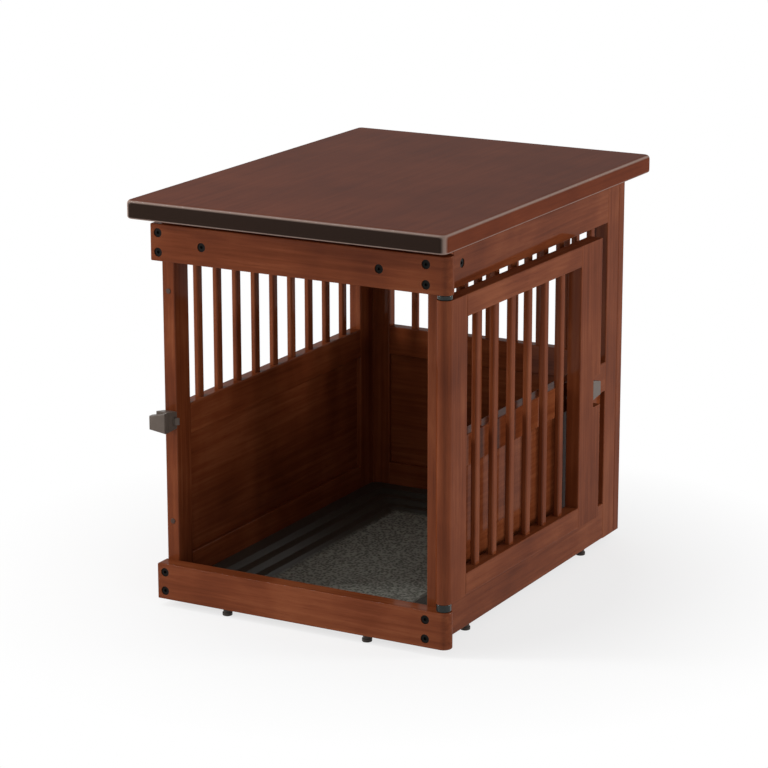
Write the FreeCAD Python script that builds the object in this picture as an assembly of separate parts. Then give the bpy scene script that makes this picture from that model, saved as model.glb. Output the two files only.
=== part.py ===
"""Dog crate end table: slatted panels, swing-round door, finger latches, tray and top.

Millimetres, +Z up. The origin is on the ground under the centre of the table top.
The doorway faces -Y. The door is modelled as it stands folded back along the right side.
"""
import FreeCAD, Part
import math
import os

V = FreeCAD.Vector

# ---- overall sizes ----
table_width = 450.0
table_depth = 596.0
table_height = 540.0
top_thickness = 24.0
top_corner_radius = 9.0
top_upper_round = 5.0
top_lower_round = 3.5
foot_height = 10.0
foot_radius = 6.5
foot_head_height = 4.0
foot_waist = 1.2

# ---- the cage under the top ----
rail_end_overhang = 14.0        # table top past the ends of the front rails
front_overhang = 36.5           # table top past the front rails
rear_overhang = 4.0             # table top past the back panel
front_rail_thickness = 22.0
front_bottom_rail_height = 48.0
front_top_rail_height = 48.0
front_top_rail_gap = 10.5       # daylight between the front top rail and the table top
left_panel_inset = 1.5          # left panel behind the left ends of the front rails
right_panel_inset = 22.5        # room beside the right panel for the folded door

panel_thickness = 18.0
front_stile_width = 33.0
rear_stile_width = 36.0
panel_bottom_rail_height = 50.0
panel_top_rail_height = 63.0
mid_rail_height = 41.0
mid_rail_centre_height = 240.5
back_panel_thickness = 17.0
back_stile_width = 44.5
board_thickness = 5.0
groove_depth = 6.0
tenon_length = 6.0
slat_thickness = 8.0
side_slat_width = 12.0
side_slat_count = 9
side_slat_pitch = 47.0
back_slat_width = 10.0
back_slat_count = 7
back_slat_pitch = 39.0
slat_edge_round = 2.5
frame_edge_round = 1.5

# ---- door and its hinge ----
door_thickness = 20.0
door_end_clearance = 0.4        # free end of the shut door short of the rails' left end
door_hinge_stile_width = 49.0
door_latch_stile_width = 61.0
door_rail_height = 28.0
door_slat_width = 12.0
door_slat_count = 6
door_slat_pitch = 45.8
hinge_pin_radius = 3.0
hinge_pin_in_rail = 30.0
hinge_pin_in_door = 22.0
hinge_pin_clearance = 0.05
hinge_pin_end_gap = 2.0
lower_bush_height = 10.2
upper_bush_height = 6.2
bush_radius = 9.3
bush_edge_round = 1.4
bush_running_gap = 0.3
door_ajar_angle = 1.2           # degrees short of lying flat along the right side

# ---- latch unit: along, out and up are its own directions ----
latch_rise = 6.0                # latch above the middle of the mid rails
latch_width = 18.0
latch_base_height = 22.0
latch_depth = 20.0
latch_flare_up = 3.5
latch_flare_down = 1.2
latch_cap_gap = 0.4
latch_cap_thickness = 8.0
latch_cap_reach = 6.0           # finger tip past the side of the housing
latch_cap_tip_height = 18.0
latch_bolt_height = 9.0
latch_bolt_thickness = 4.8
latch_bolt_out = 4.4            # bolt above the face that the latch is fixed to
latch_bolt_reach = 7.0          # bolt past the side of the housing
latch_travel = 7.0
latch_clearance = 0.3
latch_neck_length = 5.0
latch_neck_height = 5.0
latch_spring_radius = 2.1
latch_spring_wire = 0.6
latch_spring_turns = 3
latch_spring_facets = 16        # straight steps in each turn
latch_screw_spacing = 15.2
notch_gap = 2.5                 # door notch wall to the side of the latch housing
notch_height = 42.0
notch_edge_round = 2.0
bolt_hole_depth = 6.5

# ---- fasteners ----
bolt_radius = 3.0
bolt_head_radius = 5.6
bolt_head_height = 4.0
bolt_socket_width = 4.0
bolt_socket_depth = 2.2
bolt_sink = 1.0
bolt_spacing = 25.0
bolt_hole_clearance = 0.3
insert_radius = 4.5
insert_length = 13.0
top_bolt_setback_ends = 73.0    # from the sides of the cage, front and back
top_bolt_setback_side = 55.5    # from the front ends of the side panels
bumper_radius = 3.4
bumper_height = 0.8
bumper_shank_radius = 1.2
bumper_shank_length = 8.0
bumper_setback_low = 41.5       # from the door's bottom
bumper_setback_high = 36.5      # from the door's top
screw_radius = 1.5
screw_head_radius = 2.6
screw_head_height = 1.8
screw_in_wood = 12.0
foot_setback_side = 87.0        # from the ends of the side panels
foot_spread_front = 205.0
foot_spread_back = 250.0

# ---- cleats and tray ----
top_cleat_length = 40.0
top_cleat_thickness = 20.0
top_cleat_height = 50.0
tray_cleat_width = 12.0
tray_cleat_height = 16.0
tray_wall = 2.0
tray_clearance = 1.0
tray_floor_height = 13.0
tray_rim_width = 22.0
tray_step_count = 3
tray_step_slope = 9.0           # sloped part of each step down to the floor
tray_step_flat = 14.0           # level part between two steps
tray_corner_radius = 12.0

# ---- places worked out from the sizes ----
top_underside = table_height - top_thickness
rail_left = -table_width / 2 + rail_end_overhang
rail_right = table_width / 2 - rail_end_overhang
rail_front = -table_depth / 2 + front_overhang
rail_back = rail_front + front_rail_thickness
bottom_rail_top = foot_height + front_bottom_rail_height
top_rail_bottom = top_underside - front_top_rail_gap - front_top_rail_height
left_outer = rail_left + left_panel_inset
left_inner = left_outer + panel_thickness
right_outer = rail_right - right_panel_inset
right_inner = right_outer - panel_thickness
cage_centre = (left_outer + right_outer) / 2
back_outer = table_depth / 2 - rear_overhang
back_inner = back_outer - back_panel_thickness
window_front = rail_back + front_stile_width
window_back = back_inner - rear_stile_width
panel_rail_top = foot_height + panel_bottom_rail_height
mid_rail_bottom = mid_rail_centre_height - mid_rail_height / 2
mid_rail_top = mid_rail_centre_height + mid_rail_height / 2
panel_top_rail_bottom = top_underside - panel_top_rail_height
pin_inset = front_rail_thickness / 2
pin_x = rail_right - pin_inset
pin_y = rail_front + pin_inset
door_bottom = bottom_rail_top + lower_bush_height + bush_running_gap
door_top = top_rail_bottom - upper_bush_height - bush_running_gap
door_free_end = pin_x - rail_left - door_end_clearance
left_stile_centre = (left_outer + left_inner) / 2
right_stile_centre = (right_outer + right_inner) / 2
latch_along_door = pin_x - left_stile_centre
notch_wall = latch_along_door - latch_width / 2 - notch_gap
latch_height = mid_rail_centre_height + latch_rise
bumper_heights = (door_bottom + bumper_setback_low, door_top - bumper_setback_high)


def box(x0, x1, y0, y1, z0, z1):
    """A block between two corners."""
    return Part.makeBox(x1 - x0, y1 - y0, z1 - z0, V(x0, y0, z0))


def rounded(solid, radius, chosen):
    """Rounds the edges that the test picks."""
    edges = [edge for edge in solid.Edges if chosen(edge)]
    return solid.makeFillet(radius, edges)


def runs_along(edge, axis):
    """True for a straight edge along 'x', 'y' or 'z'."""
    spans = edge.BoundBox
    lengths = {"x": spans.XLength, "y": spans.YLength, "z": spans.ZLength}
    own = lengths.pop(axis)
    return own > 0.1 and max(lengths.values()) < 0.001


def timber(x0, x1, y0, y1, z0, z1, axis):
    """A wooden member with its long edges eased."""
    return rounded(box(x0, x1, y0, y1, z0, z1), frame_edge_round, lambda e: runs_along(e, axis))


def cylinder(radius, length, base, direction):
    """A round bar from a base point along a direction."""
    return Part.makeCylinder(radius, length, base, direction)


def cut_all(solid, tools):
    """The solid with every tool taken away."""
    return solid.cut(tools) if tools else solid


def save(name, solids):
    """Writes one sub-part; a list becomes a group of separate solids."""
    shape = solids if not isinstance(solids, list) else Part.makeCompound(solids)
    shape.exportStep("parts/%s.step" % name)


# ---- slats ----
def spread(centre, count, pitch):
    """Evenly spaced places about a centre."""
    first = centre - pitch * (count - 1) / 2
    return [first + pitch * index for index in range(count)]


def slat(x_mid, y_mid, x_size, y_size, low, high):
    """One upright slat with a stub tenon at each end."""
    block = box(x_mid - x_size / 2, x_mid + x_size / 2, y_mid - y_size / 2, y_mid + y_size / 2,
                low - tenon_length, high + tenon_length)
    return rounded(block, slat_edge_round, lambda e: runs_along(e, "z"))


# ---- bolts and their holes ----
def bolt(face_point, inward, length):
    """A socket bolt with its head sunk below the face that it enters."""
    head_base = face_point + inward * bolt_sink
    head = cylinder(bolt_head_radius, bolt_head_height, head_base, inward)
    shank = cylinder(bolt_radius, length - bolt_sink, head_base, inward)
    corners = [socket_corner(head_base, inward, index) for index in range(6)]
    profile = Part.Face(Part.makePolygon(corners + corners[:1]))
    return head.fuse(shank).cut(profile.extrude(inward * bolt_socket_depth))


def socket_corner(centre, inward, index):
    """One corner of the six-sided socket in a bolt head."""
    across = V(1, 0, 0) if abs(inward.x) < 0.5 else V(0, 1, 0)
    up = V(0, 0, 1)
    reach = bolt_socket_width / math.sqrt(3)
    angle = math.radians(60 * index)
    return centre + across * (reach * math.cos(angle)) + up * (reach * math.sin(angle))


def bolt_hole(face_point, inward, length):
    """The sunk seat and the shank hole for a bolt."""
    seat_radius = bolt_head_radius + bolt_hole_clearance
    seat = cylinder(seat_radius, bolt_sink + bolt_head_height, face_point, inward)
    return seat.fuse(cylinder(bolt_radius + bolt_hole_clearance, length, face_point, inward))


def insert(face_point, inward):
    """A threaded insert that starts at a stile's end face."""
    outer = cylinder(insert_radius, insert_length, face_point, inward)
    return outer.cut(cylinder(bolt_radius, insert_length, face_point, inward))


def insert_hole(face_point, inward):
    """The hole that an insert fills."""
    return cylinder(insert_radius, insert_length, face_point, inward)


def corner_bolt_places():
    """Heights and stile centres of the bolt pairs at the cage's corners."""
    middles = (foot_height + front_bottom_rail_height / 2, top_rail_bottom + front_top_rail_height / 2)
    heights = [middle + side * bolt_spacing / 2 for middle in middles for side in (-1, 1)]
    return [(x, z) for x in (left_stile_centre, right_stile_centre) for z in heights]


front_inward = V(0, 1, 0)
back_inward = V(0, -1, 0)
front_bolt_points = [V(x, rail_front, z) for x, z in corner_bolt_places()]
back_bolt_points = [V(x, back_outer, z) for x, z in corner_bolt_places()]
top_bolt_height = top_rail_bottom + front_top_rail_height / 2
top_bolt_entry = top_cleat_thickness * 0.75
top_bolt_columns = (left_outer + top_bolt_setback_ends, right_outer - top_bolt_setback_ends)
top_front_points = [V(x, rail_front, top_bolt_height) for x in top_bolt_columns]
top_back_points = [V(x, back_outer, top_bolt_height) for x in top_bolt_columns]
top_left_point = V(left_outer, rail_back + top_bolt_setback_side, top_bolt_height)
top_right_point = V(right_outer, rail_back + top_bolt_setback_side, top_bolt_height)
corner_bolt_length = {"front": front_rail_thickness + insert_length - 1.0,
                      "back": back_panel_thickness + insert_length - 1.0}
top_bolt_length_front = front_rail_thickness + top_bolt_entry
top_bolt_length_back = back_panel_thickness + top_bolt_entry
top_bolt_length_side = panel_thickness + top_bolt_entry


# ---- latch unit ----
def at_front_stile(solid):
    """Moves a latch piece to the left front stile, bolt towards the doorway."""
    placed = solid.mirror(V(0, 0, 0), V(0, 1, 0))
    placed.translate(V(left_stile_centre, rail_back, latch_height))
    return placed


def at_right_panel(solid):
    """Moves a latch piece to the right panel, bolt towards the front."""
    placed = solid.copy()
    placed.rotate(V(0, 0, 0), V(0, 0, 1), -90)
    placed.translate(V(right_outer, pin_y + latch_along_door, latch_height))
    return placed


def latch_profile(depth, half_low, half_high):
    """Outline in the out/up plane of a block that flares outwards."""
    points = [V(0, 0, -latch_base_height / 2), V(0, depth, -half_low),
              V(0, depth, half_high), V(0, 0, latch_base_height / 2)]
    return Part.Face(Part.makePolygon(points + points[:1]))


def latch_channel(clearance):
    """The bolt's way through the housing, as wide as the bolt plus a clearance."""
    low = latch_bolt_out - clearance
    high = latch_bolt_out + latch_bolt_thickness + clearance
    reach = latch_width
    return box(-reach, reach, low, high, -latch_bolt_height / 2 - clearance,
               latch_bolt_height / 2 + clearance)


latch_pocket_half = latch_width / 2 - 1.5
latch_pocket_low = latch_bolt_out + latch_bolt_thickness
latch_pocket_high = latch_pocket_low + 2 * latch_spring_radius + 2 * latch_spring_wire
latch_neck_start = latch_pocket_half - latch_neck_length - 0.5


def latch_housing():
    """The fixed block: bolt channel, spring pocket, neck slot and two screw holes."""
    body = latch_profile(latch_depth, latch_base_height / 2 + latch_flare_down,
                         latch_base_height / 2 + latch_flare_up)
    body.translate(V(-latch_width / 2, 0, 0))
    body = body.extrude(V(latch_width, 0, 0))
    body = rounded(body, 1.0, lambda e: runs_along(e, "x"))
    pocket_half_height = latch_spring_radius + latch_spring_wire + latch_clearance
    pocket = box(-latch_pocket_half, latch_pocket_half, latch_pocket_low, latch_pocket_high,
                 -pocket_half_height, pocket_half_height)
    slot_half_height = latch_neck_height / 2 + latch_clearance
    slot_low = latch_neck_start - latch_travel - latch_clearance
    slot = box(slot_low, latch_neck_start + latch_neck_length + latch_clearance, latch_pocket_low,
               latch_depth + 1, -slot_half_height, slot_half_height)
    return body.cut([latch_channel(latch_clearance), pocket, slot] + latch_screw_holes())


def latch_screws():
    """Two screws that hold the housing, under the finger piece."""
    return [latch_screw(side * latch_screw_spacing / 2) for side in (-1, 1)]


def latch_screw(height):
    """One countersunk housing screw."""
    tip = V(0, -screw_in_wood, height)
    shank = cylinder(screw_radius, screw_in_wood + latch_depth - 1.0, tip, V(0, 1, 0))
    head_base = V(0, latch_depth - 1.0 - screw_head_height, height)
    head = Part.makeCone(screw_radius, screw_head_radius, screw_head_height, head_base, V(0, 1, 0))
    slot = box(-screw_head_radius, screw_head_radius, latch_depth - 1.7, latch_depth,
               height - 0.35, height + 0.35)
    return shank.fuse(head).cut(slot)


def latch_screw_holes():
    """Holes that the housing screws fill, with room over their heads."""
    holes = []
    for side in (-1, 1):
        height = side * latch_screw_spacing / 2
        head_base = V(0, latch_depth - 1.0 - screw_head_height, height)
        seat = Part.makeCone(screw_radius, screw_head_radius, screw_head_height, head_base, V(0, 1, 0))
        mouth = cylinder(screw_head_radius, 2.0, V(0, latch_depth - 1.0, height), V(0, 1, 0))
        tip = V(0, -screw_in_wood, height)
        shank = cylinder(screw_radius, screw_in_wood + latch_depth, tip, V(0, 1, 0))
        holes.append(shank.fuse([seat, mouth]))
    return holes


def latch_slider():
    """Bolt, neck and finger piece in one."""
    bolt_low = -latch_width / 2 + 0.5
    bolt_high = latch_width / 2 + latch_bolt_reach
    out_low = latch_bolt_out
    out_high = latch_bolt_out + latch_bolt_thickness
    bevel = latch_bolt_thickness - 1.2
    corners = [V(bolt_low, out_low, 0), V(bolt_high, out_low, 0), V(bolt_high, out_high - bevel, 0),
               V(bolt_high - bevel, out_high, 0), V(bolt_low, out_high, 0)]
    bar = Part.Face(Part.makePolygon(corners + corners[:1]))
    bar.translate(V(0, 0, -latch_bolt_height / 2))
    bar = bar.extrude(V(0, 0, latch_bolt_height))
    cap_low = latch_depth + latch_cap_gap
    neck = box(latch_neck_start, latch_neck_start + latch_neck_length, out_high - 0.5,
               cap_low + 1.0, -latch_neck_height / 2, latch_neck_height / 2)
    return bar.fuse([neck, latch_cap(cap_low)]).removeSplitter()


def latch_cap(cap_low):
    """The finger piece: a wedge that narrows towards its tip."""
    wide = latch_width / 2
    tip = -latch_width / 2 - latch_cap_reach
    half_tip = latch_cap_tip_height / 2
    high = latch_base_height / 2 + latch_flare_up
    low = latch_base_height / 2 + latch_flare_down
    corners = [V(tip, cap_low, -half_tip), V(wide, cap_low, -low), V(wide, cap_low, high),
               V(tip, cap_low, half_tip)]
    plate = Part.Face(Part.makePolygon(corners + corners[:1])).extrude(V(0, latch_cap_thickness, 0))
    outer = cap_low + latch_cap_thickness
    return rounded(plate, 1.2, lambda e: abs(e.BoundBox.YMin - outer) < 0.01)


def latch_spring():
    """Return spring between the pocket's end and the slider's neck."""
    start = -latch_pocket_half + latch_spring_wire / 2
    length = latch_neck_start - start - latch_spring_wire / 2
    steps = latch_spring_turns * latch_spring_facets
    middle_out = (latch_pocket_low + latch_pocket_high) / 2
    points = [spring_point(start, length, middle_out, step / steps) for step in range(steps + 1)]
    path = Part.makePolygon(points)
    section = Part.Wire(Part.makeCircle(latch_spring_wire / 2, points[0], points[1] - points[0]))
    return path.makePipeShell([section], True, False, 1)


def spring_point(start, length, middle_out, share):
    """A point on the coil's centre line, from 0 at its fixed end to 1."""
    angle = 2 * math.pi * latch_spring_turns * share
    return V(start + length * share, middle_out + latch_spring_radius * math.cos(angle),
             latch_spring_radius * math.sin(angle))


# ---- front rails ----
def front_rail(low, high, bolt_points, plain_holes):
    """A front rail with a round right end and holes for its bolts and hinge pin."""
    bar = box(rail_left, pin_x, rail_front, rail_back, low, high)
    end = Part.makeCylinder(pin_inset, high - low, V(pin_x, pin_y, low), V(0, 0, 1))
    rail = bar.fuse(end).removeSplitter()
    flat = rounded(rail, frame_edge_round, lambda e: e.BoundBox.ZLength < 0.01)
    through = front_rail_thickness + 1
    holes = [bolt_hole(point, front_inward, through) for point in bolt_points]
    return flat.cut(holes + plain_holes)


def hinge_pin(low, high):
    """A plain pin on the door's axis."""
    return cylinder(hinge_pin_radius, high - low, V(pin_x, pin_y, low), V(0, 0, 1))


upper_pin = hinge_pin(door_top - hinge_pin_in_door, top_rail_bottom + hinge_pin_in_rail)
lower_pin = hinge_pin(bottom_rail_top - hinge_pin_in_rail, door_bottom + hinge_pin_in_door)


def hinge_bush(low, height):
    """A plastic ring on a hinge pin, between the door and a front rail."""
    ring = Part.makeCylinder(bush_radius, height, V(pin_x, pin_y, low), V(0, 0, 1))
    return rounded(ring, bush_edge_round, lambda e: e.BoundBox.ZLength < 0.01).cut(
        hinge_pin(low - 1, low + height + 1))


# ---- panels ----
def side_panel(name, outer, inner):
    """A slatted side panel between its outer and inner faces."""
    x0, x1 = min(outer, inner), max(outer, inner)
    middle = (x0 + x1) / 2
    top = top_underside
    board = box(middle - board_thickness / 2, middle + board_thickness / 2, window_front - groove_depth,
                window_back + groove_depth, panel_rail_top - groove_depth, mid_rail_bottom + groove_depth)
    slat_rows = spread((window_front + window_back) / 2, side_slat_count, side_slat_pitch)
    slats = [slat(middle, y, slat_thickness, side_slat_width, mid_rail_top, panel_top_rail_bottom)
             for y in slat_rows]
    front_inserts = [insert_hole(V(p.x, rail_back, p.z), front_inward) for p in front_bolt_points]
    back_inserts = [insert_hole(V(p.x, back_inner, p.z), back_inward) for p in back_bolt_points]
    side_holes = [bolt_hole(top_left_point, V(1, 0, 0), panel_thickness + 1),
                  bolt_hole(top_right_point, V(-1, 0, 0), panel_thickness + 1)]
    screws = [place(hole) for place in (at_front_stile, at_right_panel) for hole in latch_screw_holes()]
    stile = timber(x0, x1, rail_back, window_front, foot_height, top, "z")
    save(name + "_front_stile", cut_all(stile, [board] + front_inserts + screws + bumper_holes()))
    stile = timber(x0, x1, window_back, back_inner, foot_height, top, "z")
    save(name + "_rear_stile", cut_all(stile, [board] + back_inserts))
    rail = timber(x0, x1, window_front, window_back, foot_height, panel_rail_top, "y")
    save(name + "_bottom_rail", cut_all(rail, [board]))
    rail = timber(x0, x1, window_front, window_back, mid_rail_bottom, mid_rail_top, "y")
    save(name + "_mid_rail", cut_all(rail, [board] + slats + screws))
    rail = timber(x0, x1, window_front, window_back, panel_top_rail_bottom, top, "y")
    save(name + "_top_rail", cut_all(rail, slats + side_holes))
    save(name + "_slats", slats)
    save(name + "_board", board)


def back_panel():
    """The slatted back, which covers the rear ends of the side panels."""
    y0, y1 = back_inner, back_outer
    middle = (y0 + y1) / 2
    x0, x1 = left_outer, right_outer
    inner_left, inner_right = x0 + back_stile_width, x1 - back_stile_width
    top = top_underside
    board = box(inner_left - groove_depth, inner_right + groove_depth, middle - board_thickness / 2,
                middle + board_thickness / 2, panel_rail_top - groove_depth, mid_rail_bottom + groove_depth)
    slats = [slat(x, middle, back_slat_width, slat_thickness, mid_rail_top, panel_top_rail_bottom)
             for x in spread(cage_centre, back_slat_count, back_slat_pitch)]
    holes = [bolt_hole(p, back_inward, back_panel_thickness + 1) for p in back_bolt_points]
    save("back_left_stile", cut_all(timber(x0, inner_left, y0, y1, foot_height, top, "z"), [board] + holes))
    save("back_right_stile", cut_all(timber(inner_right, x1, y0, y1, foot_height, top, "z"), [board] + holes))
    rail = timber(inner_left, inner_right, y0, y1, foot_height, panel_rail_top, "x")
    save("back_bottom_rail", cut_all(rail, [board]))
    rail = timber(inner_left, inner_right, y0, y1, mid_rail_bottom, mid_rail_top, "x")
    save("back_mid_rail", cut_all(rail, [board] + slats))
    rail = timber(inner_left, inner_right, y0, y1, panel_top_rail_bottom, top, "x")
    top_holes = [bolt_hole(p, back_inward, back_panel_thickness + 1) for p in top_back_points]
    save("back_top_rail", cut_all(rail, slats + top_holes))
    save("back_slats", slats)
    save("back_board", board)


# ---- door, in its own frame: +X from the hinge axis to the free end ----
def to_folded(solid):
    """Turns the door from its own frame to its place beside the right panel."""
    turned = solid.copy()
    turned.rotate(V(0, 0, 0), V(0, 0, 1), 90 - door_ajar_angle)
    turned.translate(V(pin_x, pin_y, 0))
    return turned


def door():
    """Frame, slats, round hinge end, latch notch and bolt holes of the door."""
    half = door_thickness / 2
    opening_start = door_hinge_stile_width - half
    opening_end = door_free_end - door_latch_stile_width
    lower_rail_top = door_bottom + door_rail_height
    upper_rail_bottom = door_top - door_rail_height
    rows = spread((opening_start + opening_end) / 2, door_slat_count, door_slat_pitch)
    slats = [slat(x, 0, door_slat_width, slat_thickness, lower_rail_top, upper_rail_bottom) for x in rows]

    bar = box(0, opening_start, -half, half, door_bottom, door_top)
    end = Part.makeCylinder(half, door_top - door_bottom, V(0, 0, door_bottom), V(0, 0, 1))
    hinge_stile = rounded(bar.fuse(end).removeSplitter(), frame_edge_round,
                          lambda e: runs_along(e, "z") and e.BoundBox.XMin > opening_start - 0.01)
    bore = hinge_pin_radius + hinge_pin_clearance
    depth = hinge_pin_in_door + hinge_pin_end_gap
    bores = [cylinder(bore, depth, V(0, 0, door_bottom), V(0, 0, 1)),
             cylinder(bore, depth, V(0, 0, door_top - depth), V(0, 0, 1))]
    save("door_hinge_stile", to_folded(hinge_stile.cut(bores)))

    latch_stile = timber(opening_end, door_free_end, -half, half, door_bottom, door_top, "z")
    notch = box(notch_wall, door_free_end + 1, -half - 1, half + 1, latch_height - notch_height / 2,
                latch_height + notch_height / 2)
    notch = rounded(notch, notch_edge_round,
                    lambda e: runs_along(e, "y") and e.BoundBox.XMin < notch_wall + 0.01)
    save("door_latch_stile", to_folded(latch_stile.cut([notch] + bolt_mortises())))

    for name, low, high in (("door_bottom_rail", door_bottom, lower_rail_top),
                            ("door_top_rail", upper_rail_bottom, door_top)):
        rail = timber(opening_start, opening_end, -half, half, low, high, "x")
        save(name, to_folded(rail.cut(slats)))
    save("door_slats", [to_folded(one) for one in slats])


def bolt_mortises():
    """Two holes in the notch wall: one for the front latch, one for the side catch."""
    room = 0.3
    half_height = latch_bolt_height / 2 + room
    low, high = latch_height - half_height, latch_height + half_height
    bolt_near, bolt_far = latch_bolt_out, latch_bolt_out + latch_bolt_thickness
    shut_face = rail_back - pin_y
    folded_face = pin_x - right_outer
    shut = (bolt_near - shut_face - room, bolt_far - shut_face + room)
    folded = (folded_face - bolt_far - room, folded_face - bolt_near + room)
    return [box(notch_wall - bolt_hole_depth, notch_wall + 1, span[0], span[1], low, high)
            for span in (shut, folded)]


# ---- small pieces ----
def bumper_holes():
    """Shank holes of the two door bumpers."""
    return [cylinder(bumper_shank_radius, bumper_shank_length, V(left_stile_centre, rail_back, z),
                     front_inward) for z in bumper_heights]


def bumper(height):
    """A small domed pad that the shut door meets."""
    face = V(left_stile_centre, rail_back, height)
    head = cylinder(bumper_radius, bumper_height, face, back_inward)
    head = rounded(head, bumper_height * 0.6, lambda e: e.BoundBox.YMin < rail_back - bumper_height + 0.01
                   and e.BoundBox.YLength < 0.01)
    return head.fuse(cylinder(bumper_shank_radius, bumper_shank_length, face, front_inward))


def foot(x, y):
    """A short round glide."""
    head = cylinder(foot_radius, foot_head_height, V(x, y, 0), V(0, 0, 1))
    head = rounded(head, 1.0, lambda e: e.BoundBox.ZMax < 0.01)
    waist_radius = foot_radius - foot_waist
    waist = cylinder(waist_radius, foot_height - foot_head_height, V(x, y, foot_head_height), V(0, 0, 1))
    return head.fuse(waist).removeSplitter()


def foot_places():
    """Under the front rail, both side panels and the back panel."""
    side_rows = (rail_back + foot_setback_side, back_inner - foot_setback_side)
    back_row = (back_inner + back_outer) / 2
    places = [(cage_centre + side * foot_spread_front / 2, pin_y) for side in (-1, 1)]
    places += [(x, y) for x in (left_stile_centre, right_stile_centre) for y in side_rows]
    places += [(cage_centre + side * foot_spread_back / 2, back_row) for side in (-1, 1)]
    return places


def top_cleats():
    """Blocks under the table top, behind the rails, that take the top bolts."""
    low = top_underside - top_cleat_height
    half = top_cleat_length / 2
    blocks = []
    thick = top_cleat_thickness
    for x in top_bolt_columns:
        for y0 in (rail_back, back_inner - thick):
            blocks.append(box(x - half, x + half, y0, y0 + thick, low, top_underside))
    for x0, y in ((left_inner, top_left_point.y), (right_inner - thick, top_right_point.y)):
        blocks.append(box(x0, x0 + thick, y - half, y + half, low, top_underside))
    return [block.cut(top_bolts()) for block in blocks]


def top_bolts():
    """Bolts through the top rails into the cleats."""
    bolts = [bolt(p, front_inward, top_bolt_length_front) for p in top_front_points]
    bolts += [bolt(p, back_inward, top_bolt_length_back) for p in top_back_points]
    bolts.append(bolt(top_left_point, V(1, 0, 0), top_bolt_length_side))
    bolts.append(bolt(top_right_point, V(-1, 0, 0), top_bolt_length_side))
    return bolts


def tray_cleats():
    """Strips along the bottom rails that carry the tray's rim."""
    low, high = foot_height, foot_height + tray_cleat_height
    wide = tray_cleat_width
    return [box(left_inner, left_inner + wide, rail_back, back_inner, low, high),
            box(right_inner - wide, right_inner, rail_back, back_inner, low, high),
            box(left_inner + wide, right_inner - wide, back_inner - wide, back_inner, low, high),
            box(left_inner + wide, right_inner - wide, rail_back, rail_back + wide, low, high)]


def tray_layer(inset, low, high):
    """A rectangle with round corners, drawn in from the cage's inside."""
    block = box(left_inner + inset, right_inner - inset, rail_back + inset, back_inner - inset, low, high)
    return rounded(block, tray_corner_radius, lambda e: runs_along(e, "z"))


def tray_ring(inset, height):
    """The same rectangle as a wire at one height."""
    face = min(tray_layer(inset, height, height + 1).Faces, key=lambda f: f.CenterOfMass.z)
    return face.OuterWire


def tray_steps(top, bottom):
    """The stepped hollow between two heights: each step slopes, then the next starts further in."""
    drop = (top - bottom) / tray_step_count
    steps = []
    for index in range(tray_step_count):
        inset = tray_clearance + tray_rim_width + index * (tray_step_slope + tray_step_flat)
        high = top - index * drop
        rings = [tray_ring(inset, high), tray_ring(inset + tray_step_slope, high - drop)]
        steps.append(Part.makeLoft(rings, True))
    return steps[0].fuse(steps[1:])


def tray():
    """Thin plastic tray: flat rim on the cleats, three shallow steps, flat floor."""
    rim_low = foot_height + tray_cleat_height
    rim_high = rim_low + tray_wall
    rim = tray_layer(tray_clearance, rim_low, rim_high)
    well = tray_steps(rim_low, tray_floor_height)
    hollow = tray_steps(rim_high, tray_floor_height + tray_wall)
    return rim.fuse(well).cut(hollow).removeSplitter()


def table_top():
    """The slab, with round corners and softened edges."""
    block = box(-table_width / 2, table_width / 2, -table_depth / 2, table_depth / 2,
                top_underside, table_height)
    slab = rounded(block, top_corner_radius, lambda e: runs_along(e, "z"))
    slab = rounded(slab, top_upper_round, lambda e: e.BoundBox.ZMin > table_height - 0.01)
    return rounded(slab, top_lower_round, lambda e: e.BoundBox.ZMax < top_underside + 0.01)


def main():
    os.makedirs("parts", exist_ok=True)
    save("table_top", table_top())
    save("top_cleats", top_cleats())
    save("top_bolts", top_bolts())
    bottom = [p for p in front_bolt_points if p.z < top_rail_bottom]
    top = [p for p in front_bolt_points if p.z > top_rail_bottom]
    save("front_bottom_rail", front_rail(foot_height, bottom_rail_top, bottom, [lower_pin]))
    top_rail_top = top_rail_bottom + front_top_rail_height
    save("front_top_rail", front_rail(top_rail_bottom, top_rail_top, top + top_front_points, [upper_pin]))
    side_panel("left", left_outer, left_inner)
    side_panel("right", right_outer, right_inner)
    back_panel()
    save("front_rail_bolts", [bolt(p, front_inward, corner_bolt_length["front"]) for p in front_bolt_points])
    save("back_panel_bolts", [bolt(p, back_inward, corner_bolt_length["back"]) for p in back_bolt_points])
    inserts = [insert(V(p.x, rail_back, p.z), front_inward) for p in front_bolt_points]
    inserts += [insert(V(p.x, back_inner, p.z), back_inward) for p in back_bolt_points]
    save("threaded_inserts", inserts)
    save("door_bumpers", [bumper(z) for z in bumper_heights])
    save("feet", [foot(x, y) for x, y in foot_places()])
    save("tray_cleats", tray_cleats())
    save("tray", tray())
    save("upper_hinge_pin", upper_pin)
    save("lower_hinge_pin", lower_pin)
    save("lower_hinge_bush", hinge_bush(bottom_rail_top, lower_bush_height))
    save("upper_hinge_bush", hinge_bush(top_rail_bottom - upper_bush_height, upper_bush_height))
    door()
    for name, place in (("front_latch", at_front_stile), ("side_catch", at_right_panel)):
        save(name + "_housing", place(latch_housing()))
        save(name + "_slider", place(latch_slider()))
        save(name + "_spring", place(latch_spring()))
        save(name + "_screws", [place(one) for one in latch_screws()])


main()
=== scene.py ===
"""Looks of the dog crate end table: lacquered wood, moulded plastic, steel, camera and lights."""
import math

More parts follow.
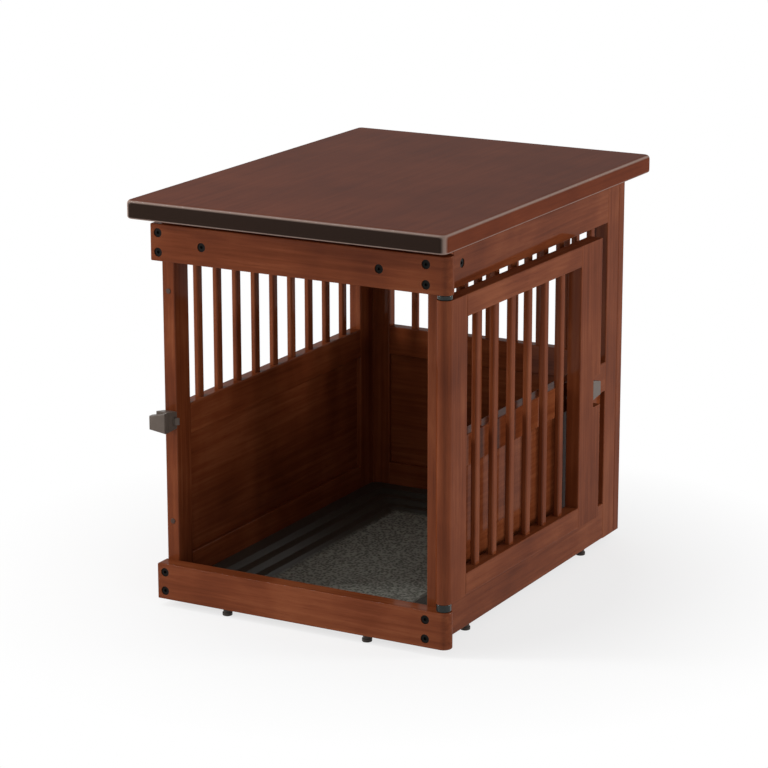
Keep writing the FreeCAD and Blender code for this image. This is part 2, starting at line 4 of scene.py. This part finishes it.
import bpy
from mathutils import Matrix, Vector


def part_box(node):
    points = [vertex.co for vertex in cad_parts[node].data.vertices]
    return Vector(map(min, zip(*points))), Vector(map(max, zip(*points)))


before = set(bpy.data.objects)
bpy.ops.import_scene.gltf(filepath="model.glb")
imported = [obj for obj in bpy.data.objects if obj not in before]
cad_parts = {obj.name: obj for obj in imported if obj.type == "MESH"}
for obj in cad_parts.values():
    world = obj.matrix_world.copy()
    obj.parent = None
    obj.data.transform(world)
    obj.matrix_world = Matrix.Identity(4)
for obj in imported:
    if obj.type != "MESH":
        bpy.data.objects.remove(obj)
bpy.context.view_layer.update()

# ---- camera: place and lens solved from the photograph's straight edges ----
CAMERA_PLACE = (1.7837, -3.2796, 1.2600)
CAMERA_YAW = 28.811
CAMERA_PITCH = 14.962
CAMERA_ROLL = 0.061
CAMERA_LENS = 137.77
CAMERA_SENSOR = 36.0
CAMERA_REACH = 50.0

# ---- stains and lacquer; colours are linear, and a stain is dark, middle, light ----
FRAME_STAIN = ((0.088, 0.0190, 0.0060, 1), (0.145, 0.0350, 0.0115, 1), (0.215, 0.0620, 0.0230, 1))
TOP_STAIN = ((0.085, 0.0175, 0.0060, 1), (0.112, 0.0240, 0.0080, 1), (0.140, 0.0320, 0.0110, 1))
STAIN_STOPS = (0.30, 0.50, 0.72)
# darker end grain of the slab's front and back, which also paints the shade that falls on them
END_GRAIN_AND_SHADE = (0.020, 0.0110, 0.0075, 1)
# painted highlight on the slab's rounded edges, standing in for the lacquer's shine
PAINTED_EDGE_HIGHLIGHT = (0.300, 0.2200, 0.1850, 1)
FRAME_LACQUER = {"Coat_Weight": 0.19, "Coat_Roughness": 0.09}
TOP_LACQUER = {"Coat_Weight": 0.11, "Coat_Roughness": 0.06}
LACQUER_IOR = 1.5
WOOD_ROUGHNESS = (0.36, 0.46)
WOOD_BUMP = (0.08, 0.0004)

# ---- grain: noise per metre across and along it ----
STREAKS = (170.0, 7.0)
PORES = (900.0, 60.0)
CLOUDS = (9.0, 9.0)
STREAK_SHARE = 0.45
CLOUD_SHARE = 0.55
PORE_SHARE = 0.30
# painted highlight along the frame's edges: its reach, strength and patch size
EDGE_HIGHLIGHT_RADIUS = 0.0018
EDGE_HIGHLIGHT_SHARE = 0.55
EDGE_HIGHLIGHT_PATCHES = 60.0

# ---- plastics and metals ----
BUSH_PLASTIC = {
    "first": (0.008, 0.011, 0.010, 1), "second": (0.013, 0.017, 0.015, 1),
    "grain_scale": 900.0, "grain_height": 0.00003, "rough": (0.16, 0.26), "coat": 0.1,
}
LATCH_PLASTIC = {
    "first": (0.082, 0.062, 0.050, 1), "second": (0.100, 0.077, 0.063, 1),
    "grain_scale": 1400.0, "grain_height": 0.0001, "rough": (0.34, 0.48),
}
FOOT_PLASTIC = {
    "first": (0.028, 0.022, 0.018, 1), "second": (0.040, 0.032, 0.026, 1),
    "grain_scale": 900.0, "grain_height": 0.0001, "rough": (0.35, 0.50),
}
BUMPER_RUBBER = {
    "first": (0.045, 0.022, 0.015, 1), "second": (0.060, 0.030, 0.020, 1),
    "grain_scale": 900.0, "grain_height": 0.0001, "rough": (0.50, 0.65),
}
BLACK_COAT = {
    "first": (0.004, 0.004, 0.003, 1), "second": (0.008, 0.007, 0.006, 1),
    "rough": (0.30, 0.42), "metallic": 0.0, "gloss": 0.06,
}
BRASS = {"first": (0.52, 0.34, 0.12, 1), "second": (0.60, 0.42, 0.18, 1)}
ZINC = {"first": (0.42, 0.42, 0.40, 1), "second": (0.52, 0.52, 0.50, 1)}

# ---- tray: the flat floor lies inside its rim and steps ----
TRAY_STEPS = 0.077
TRAY_BLEND = 0.004
TRAY_PEBBLE = 250.0
TRAY_FINE = 330.0
TRAY_RIM = (0.042, 0.040, 0.032, 1)
TRAY_FLOOR = (0.045, 0.048, 0.040, 1)
# pale specks on the floor's pebble grain, painted as its sheen
TRAY_SPECK_SHEEN = (0.300, 0.315, 0.270, 1)

# ---- members whose grain isn't given by the ending of their name ----
GRAIN_AXIS = {
    "front_top_rail": "x", "front_bottom_rail": "x", "back_top_rail": "x", "back_mid_rail": "x",
    "back_bottom_rail": "x", "back_board": "x", "top_cleats": "z",
}

# ---- studio ----
WHITE = (1, 1, 1, 1)
FLOOR_COLOUR = (0.86, 0.86, 0.86, 1)
FLOOR_REACH = 6.0
FADE_START, FADE_END = 0.30, 0.62
FADE_LEAST = 0.72
WORLD_LIGHT = 0.36
# name, place, aim, size, watts
LAMPS = (
    ("strip_above", (-0.94, -0.77, 2.23), (-0.94, -0.05, 0.3), (1.4, 0.16), 17),
    ("key_left", (-1.75, -1.25, 0.8), (-0.1, -0.2, 0.3), (0.3, 1.2), 31),
    ("side_right", (2.3, 0.9, 0.7), (0.1, 0, 0.3), (0.6, 0.7), 30),
    ("fill_front", (1.3, -2.7, 1.0), (0, 0, 0.25), (1.0, 1.0), 6),
    ("strip_right", (2.6, -1.6, 0.9), (0, 0, 0.3), (0.10, 1.6), 6),
)


# ---- node helpers ----
# Mix's sockets for colours, which share their names with those for numbers
MIX_FACTOR, MIX_FIRST, MIX_SECOND, MIX_RESULT = 0, 6, 7, 2


class Graph:
    """A material's node tree, with short calls for the nodes used here."""

    def __init__(self, name):
        self.material = bpy.data.materials.new(name)
        self.material.use_nodes = True
        self.tree = self.material.node_tree
        self.tree.nodes.clear()
        self.output = self.node("ShaderNodeOutputMaterial")

    def node(self, kind, **fields):
        made = self.tree.nodes.new(kind)
        for key, value in fields.items():
            setattr(made, key, value)
        return made

    def link(self, source, target):
        self.tree.links.new(source, target)

    def feed(self, value, target):
        """Links a socket to the target, or sets a plain number or colour on it."""
        if hasattr(value, "links"):
            self.link(value, target)
        else:
            target.default_value = value

    def place(self, scale=(1.0, 1.0, 1.0), offset=(0.0, 0.0, 0.0)):
        """Object coordinates, scaled and shifted."""
        coords = self.node("ShaderNodeTexCoord")
        mapping = self.node("ShaderNodeMapping")
        mapping.inputs["Scale"].default_value = scale
        mapping.inputs["Location"].default_value = offset
        self.link(coords.outputs["Object"], mapping.inputs["Vector"])
        return mapping.outputs["Vector"]

    def split(self, kind):
        """The x, y and z of the object's own coordinates or normals."""
        coords = self.node("ShaderNodeTexCoord")
        parts = self.node("ShaderNodeSeparateXYZ")
        self.link(coords.outputs[kind], parts.inputs[0])
        return [parts.outputs[axis] for axis in "XYZ"]

    def noise(self, vector, scale=1.0, detail=3.0, roughness=0.55, distortion=0.0):
        made = self.node("ShaderNodeTexNoise")
        made.inputs["Scale"].default_value = scale
        made.inputs["Detail"].default_value = detail
        made.inputs["Roughness"].default_value = roughness
        made.inputs["Distortion"].default_value = distortion
        self.link(vector, made.inputs["Vector"])
        return made.outputs["Fac"]

    def cells(self, vector, scale):
        made = self.node("ShaderNodeTexVoronoi")
        made.inputs["Scale"].default_value = scale
        self.link(vector, made.inputs["Vector"])
        return made.outputs["Distance"]

    def remap(self, value, low, high, to_low=0.0, to_high=1.0):
        """Maps low..high onto to_low..to_high and stops there."""
        made = self.node("ShaderNodeMapRange")
        numbers = {"From Min": low, "From Max": high, "To Min": to_low, "To Max": to_high}
        for name, number in numbers.items():
            made.inputs[name].default_value = number
        self.link(value, made.inputs["Value"])
        return made.outputs["Result"]

    def math(self, operation, first, second=0.0):
        made = self.node("ShaderNodeMath", operation=operation)
        self.feed(first, made.inputs[0])
        self.feed(second, made.inputs[1])
        return made.outputs[0]

    def blend(self, first, first_share, second, second_share):
        """A weighted sum of two values."""
        return self.math("ADD", self.math("MULTIPLY", first, first_share),
                         self.math("MULTIPLY", second, second_share))

    def ramp(self, value, positions, colours):
        made = self.node("ShaderNodeValToRGB")
        elements = made.color_ramp.elements
        while len(elements) < len(positions):
            elements.new(0.5)
        for element, position, colour in zip(elements, positions, colours):
            element.position = position
            element.color = colour
        self.link(value, made.inputs["Fac"])
        return made.outputs["Color"]

    def tint(self, share, first, second):
        """Mixes two colours; the share and the colours may be sockets or plain values."""
        made = self.node("ShaderNodeMix", data_type="RGBA")
        for value, slot in ((share, MIX_FACTOR), (first, MIX_FIRST), (second, MIX_SECOND)):
            self.feed(value, made.inputs[slot])
        return made.outputs[MIX_RESULT]

    def bump(self, height, strength, distance):
        made = self.node("ShaderNodeBump")
        made.inputs["Strength"].default_value = strength
        made.inputs["Distance"].default_value = distance
        self.link(height, made.inputs["Height"])
        return made.outputs["Normal"]

    def surface(self, colour, roughness, normal, **numbers):
        """Principled shader; numbers go straight onto its own sockets."""
        shader = self.node("ShaderNodeBsdfPrincipled")
        self.link(colour, shader.inputs["Base Color"])
        self.link(roughness, shader.inputs["Roughness"])
        self.link(normal, shader.inputs["Normal"])
        for name, value in numbers.items():
            shader.inputs[name.replace("_", " ")].default_value = value
        self.link(shader.outputs["BSDF"], self.output.inputs["Surface"])
        return self.material


# ---- wood ----
def along_grain(axis, scales):
    """Noise scales for x, y and z, with the second one along the grain."""
    across, along = scales
    return [along if letter == axis else across for letter in "xyz"]


def wood(name, axis, seed, stain, slab=False):
    """Stained close-grained hardwood under thin satin lacquer, with its grain along one axis."""
    graph = Graph(name)
    dark, _, light = stain
    shift = ((seed * 0.731) % 3.0, (seed * 1.377) % 3.0, (seed * 0.419) % 3.0)
    streaks = graph.noise(graph.place(along_grain(axis, STREAKS), shift), roughness=0.5, distortion=0.4)
    pores = graph.noise(graph.place(along_grain(axis, PORES), shift), detail=2.0, roughness=0.5)
    cloud = graph.noise(graph.place(along_grain(axis, CLOUDS), shift), roughness=0.5, distortion=0.3)
    colour = graph.ramp(graph.blend(streaks, STREAK_SHARE, cloud, CLOUD_SHARE), STAIN_STOPS, stain)
    colour = graph.tint(graph.remap(pores, 0.30, 0.44, PORE_SHARE, 0.0), colour, dark)
    if slab:
        colour = slab_edges(graph, colour)
    else:
        # other members take a painted highlight along their edges, in the stain's light tone
        colour = graph.tint(painted_edge_highlight(graph), colour, light)
    roughness = graph.remap(streaks, 0.3, 0.7, *WOOD_ROUGHNESS)
    normal = graph.bump(graph.blend(pores, 0.7, streaks, 0.4), *WOOD_BUMP)
    lacquer = TOP_LACQUER if slab else FRAME_LACQUER
    return graph.surface(colour, roughness, normal, Specular_IOR_Level=0.0, Coat_IOR=LACQUER_IOR, **lacquer)


def slab_edges(graph, colour):
    """Darker end grain at the slab's front and back, also painting the shade on them, and a painted
    highlight on the roundings.
    """
    across, along, up = [graph.math("ABSOLUTE", part) for part in graph.split("Normal")]
    # front and back faces darken: end grain, and painted shade with it
    colour = graph.tint(graph.remap(along, 0.50, 0.90), colour, END_GRAIN_AND_SHADE)
    flattest = graph.math("MAXIMUM", graph.math("MAXIMUM", across, along), up)
    # the roundings take a painted highlight, paler where the faces turn
    return graph.tint(graph.remap(flattest, 0.97, 0.80, 0.0, 0.8), colour, PAINTED_EDGE_HIGHLIGHT)


def painted_edge_highlight(graph):
    """A painted highlight share that rises where two faces meet, broken up by noise."""
    bevel = graph.node("ShaderNodeBevel", samples=4)
    bevel.inputs["Radius"].default_value = EDGE_HIGHLIGHT_RADIUS
    geometry = graph.node("ShaderNodeNewGeometry")
    dot = graph.node("ShaderNodeVectorMath", operation="DOT_PRODUCT")
    graph.link(bevel.outputs["Normal"], dot.inputs[0])
    graph.link(geometry.outputs["Normal"], dot.inputs[1])
    edge = graph.remap(dot.outputs["Value"], 1.0, 0.82, 0.0, EDGE_HIGHLIGHT_SHARE)
    patches = graph.noise(graph.place([EDGE_HIGHLIGHT_PATCHES] * 3), detail=2.0)
    return graph.math("MULTIPLY", edge, graph.remap(patches, 0.35, 0.65, 0.35, 1.0))


# ---- plastic and metal ----
def moulded(name, first, second, grain_scale, grain_height, rough, coat=0.0):
    """Moulded plastic or rubber with a fine surface grain and two close tones."""
    graph = Graph(name)
    where = graph.place()
    fine = graph.noise(where, grain_scale, roughness=0.6)
    broad = graph.noise(where, 18.0, roughness=0.5)
    tone = graph.tint(graph.remap(broad, 0.35, 0.65), first, second)
    roughness = graph.remap(fine, 0.3, 0.7, *rough)
    normal = graph.bump(fine, 0.35, grain_height)
    return graph.surface(tone, roughness, normal, Coat_Weight=coat, Coat_Roughness=0.1, IOR=1.5,
                         Specular_IOR_Level=0.2)


def metal(name, first, second, rough=(0.28, 0.45), metallic=1.0, gloss=0.15):
    """Plated or coated metal with faint turning marks."""
    graph = Graph(name)
    marks = graph.noise(graph.place((400.0, 400.0, 3000.0)), detail=2.0)
    patches = graph.noise(graph.place([120.0] * 3))
    tone = graph.tint(graph.remap(patches, 0.35, 0.65), first, second)
    roughness = graph.remap(patches, 0.3, 0.7, *rough)
    normal = graph.bump(marks, 0.12, 0.0001)
    return graph.surface(tone, roughness, normal, Metallic=metallic, Specular_IOR_Level=gloss)


def tray_plastic(low, high):
    """Smooth dark rim and steps; the flat floor inside them is grained and greyer, with painted sheen on
    its pebble specks.
    """
    graph = Graph("tray_moulded")
    where = graph.place()
    pebble = graph.cells(where, TRAY_PEBBLE)
    fine = graph.noise(where, TRAY_FINE, roughness=0.6)
    grain = graph.math("ADD", pebble, graph.math("MULTIPLY", fine, 0.5))
    shares = []
    for part, near, far in zip(graph.split("Object"), low.xy, high.xy):
        middle, half = (near + far) / 2, (far - near) / 2 - TRAY_STEPS
        reach = graph.math("ABSOLUTE", graph.math("SUBTRACT", part, middle))
        shares.append(graph.remap(reach, half - TRAY_BLEND, half + TRAY_BLEND, 1.0, 0.0))
    inside = graph.math("MULTIPLY", *shares)
    # the pebble grain's specks are painted pale, as sheen
    speck_sheen = graph.math("MULTIPLY", graph.remap(grain, 0.45, 0.95), inside)
    tone = graph.tint(speck_sheen, graph.tint(inside, TRAY_RIM, TRAY_FLOOR), TRAY_SPECK_SHEEN)
    roughness = graph.remap(inside, 0.0, 1.0, 0.34, 0.5)
    normal = graph.bump(graph.math("MULTIPLY", grain, inside), 0.5, 0.0012)
    return graph.surface(tone, roughness, normal, IOR=1.5, Specular_IOR_Level=0.3)


# ---- which node gets which finish ----
def grain_axis(node):
    """The long way of a member; side rails, boards and tray cleats run front to back."""
    if node in GRAIN_AXIS:
        return GRAIN_AXIS[node]
    return "z" if node.endswith(("stile", "slats")) else "y"


def finish_for(node, seed):
    """A node's own material, picked by its name; the seed moves the grain from member to member."""
    if node == "table_top":
        return wood("wood_table_top", "y", seed, TOP_STAIN, slab=True)
    if node == "tray":
        return tray_plastic(*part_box("tray"))
    if node.endswith("_bush"):
        return moulded("plastic_" + node, **BUSH_PLASTIC)
    if node.endswith(("_housing", "_slider")):
        return moulded("plastic_" + node, **LATCH_PLASTIC)
    if node == "feet":
        return moulded("plastic_feet", **FOOT_PLASTIC)
    if node == "door_bumpers":
        return moulded("rubber_bumpers", **BUMPER_RUBBER)
    if node.endswith("_bolts"):
        return metal("dark_" + node, **BLACK_COAT)
    if node == "threaded_inserts":
        return metal("brass_inserts", **BRASS)
    if node.endswith(("_pin", "_screws", "_spring")):
        return metal("zinc_" + node, **ZINC)
    return wood("wood_" + node, grain_axis(node), seed, FRAME_STAIN)


def dress_nodes():
    """Gives every CAD node its own finish."""
    for seed, (name, obj) in enumerate(sorted(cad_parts.items())):
        material = finish_for(name, seed)
        if not obj.material_slots:
            obj.data.materials.append(material)
        for slot in obj.material_slots:
            slot.material = material


# ---- stage ----
def add_floor():
    """A pale floor that keeps the table's shadow and fades to white where it is seen."""
    mesh = bpy.data.meshes.new("floor")
    corners = [(x * FLOOR_REACH, y * FLOOR_REACH, 0) for x, y in ((-1, -1), (1, -1), (1, 1), (-1, 1))]
    mesh.from_pydata(corners, [], [(0, 1, 2, 3)])
    floor = bpy.data.objects.new("floor", mesh)
    bpy.context.scene.collection.objects.link(floor)
    graph = Graph("floor_white")
    matte = graph.node("ShaderNodeBsdfDiffuse")
    matte.inputs["Color"].default_value = FLOOR_COLOUR
    glow = graph.node("ShaderNodeEmission")
    glow.inputs["Color"].default_value = WHITE
    glow.inputs["Strength"].default_value = 1.0
    geometry = graph.node("ShaderNodeNewGeometry")
    distance = graph.node("ShaderNodeVectorMath", operation="LENGTH")
    graph.link(geometry.outputs["Position"], distance.inputs[0])
    far = graph.remap(distance.outputs["Value"], FADE_START, FADE_END, FADE_LEAST, 1.0)
    mix = graph.node("ShaderNodeMixShader")
    graph.link(graph.math("MULTIPLY", far, seen_share(graph.tree)), mix.inputs["Fac"])
    graph.link(matte.outputs["BSDF"], mix.inputs[1])
    graph.link(glow.outputs["Emission"], mix.inputs[2])
    graph.link(mix.outputs["Shader"], graph.output.inputs["Surface"])
    mesh.materials.append(graph.material)


def seen_share(tree):
    """One for rays that show the background: from the camera, a mirror or glass."""
    path = tree.nodes.new("ShaderNodeLightPath")
    share = path.outputs["Is Camera Ray"]
    for kind in ("Is Glossy Ray", "Is Transmission Ray"):
        either = tree.nodes.new("ShaderNodeMath")
        either.operation = "MAXIMUM"
        tree.links.new(share, either.inputs[0])
        tree.links.new(path.outputs[kind], either.inputs[1])
        share = either.outputs[0]
    return share


def add_world():
    """White to the camera and to reflections, a plain soft light to the object."""
    world = bpy.data.worlds.new("studio")
    bpy.context.scene.world = world
    world.use_nodes = True
    tree = world.node_tree
    tree.nodes.clear()
    output = tree.nodes.new("ShaderNodeOutputWorld")
    mix = tree.nodes.new("ShaderNodeMixShader")
    tree.links.new(seen_share(tree), mix.inputs["Fac"])
    for slot, strength in ((1, WORLD_LIGHT), (2, 1.0)):
        background = tree.nodes.new("ShaderNodeBackground")
        background.inputs["Color"].default_value = WHITE
        background.inputs["Strength"].default_value = strength
        tree.links.new(background.outputs["Background"], mix.inputs[slot])
    tree.links.new(mix.outputs["Shader"], output.inputs["Surface"])


def add_lamp(name, place, aim, size, watts):
    """A soft rectangular lamp aimed at a point."""
    lamp = bpy.data.lights.new(name, "AREA")
    lamp.shape = "RECTANGLE"
    lamp.size, lamp.size_y = size
    lamp.energy = watts
    obj = bpy.data.objects.new(name, lamp)
    obj.location = place
    obj.rotation_euler = (Vector(aim) - Vector(place)).to_track_quat("-Z", "Y").to_euler()
    bpy.context.scene.collection.objects.link(obj)


def add_camera():
    data = bpy.data.cameras.new("camera")
    data.sensor_width = CAMERA_SENSOR
    data.lens = CAMERA_LENS
    data.clip_end = CAMERA_REACH
    camera = bpy.data.objects.new("camera", data)
    camera.location = CAMERA_PLACE
    camera.rotation_euler = [math.radians(angle) for angle in (90 - CAMERA_PITCH, CAMERA_ROLL, CAMERA_YAW)]
    bpy.context.scene.collection.objects.link(camera)
    bpy.context.scene.camera = camera


dress_nodes()
add_floor()
add_world()
for lamp in LAMPS:
    add_lamp(*lamp)
add_camera()
bpy.context.scene.view_settings.view_transform = "Standard"
